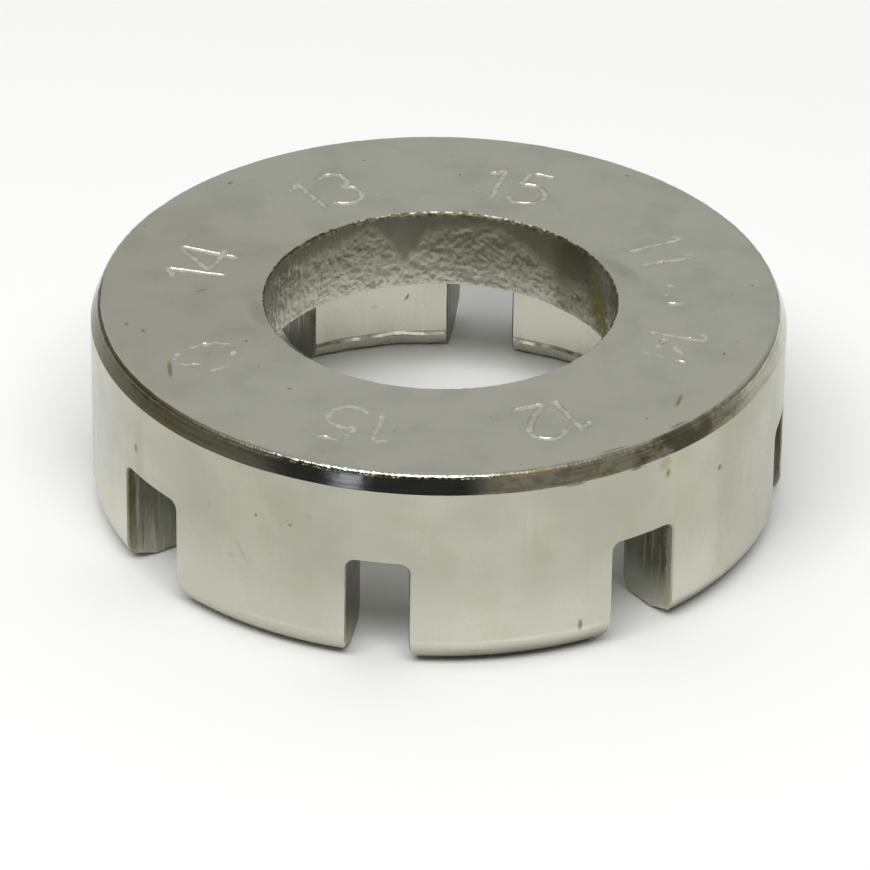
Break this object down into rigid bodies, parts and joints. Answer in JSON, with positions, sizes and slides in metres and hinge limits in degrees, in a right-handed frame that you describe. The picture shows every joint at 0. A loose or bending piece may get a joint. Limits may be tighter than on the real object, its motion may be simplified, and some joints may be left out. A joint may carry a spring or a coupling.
{
  "type": "spoke wrench",
  "caption": "Plated ring spoke wrench: a thick flange round a centre hole, and a skirt cut with open nipple slots of graded width.",
  "frame": {"origin": "on the ring's axis, in the plane of the skirt's rim that the tool stands on", "axes": "+Z along the axis through the centre hole, from the rim towards the stamped face; +X out through the middle of the 10 gauge slot"},
  "size_m": [0.045, 0.045, 0.0139],
  "materials": {
    "plated_steel": "satin nickel plate over cast and punched steel, brighter on the skirt, pitted in the centre hole"
  },
  "bodies": {
    "root": {"wrench_body": "plated_steel"}
  },
  "joints": []
}
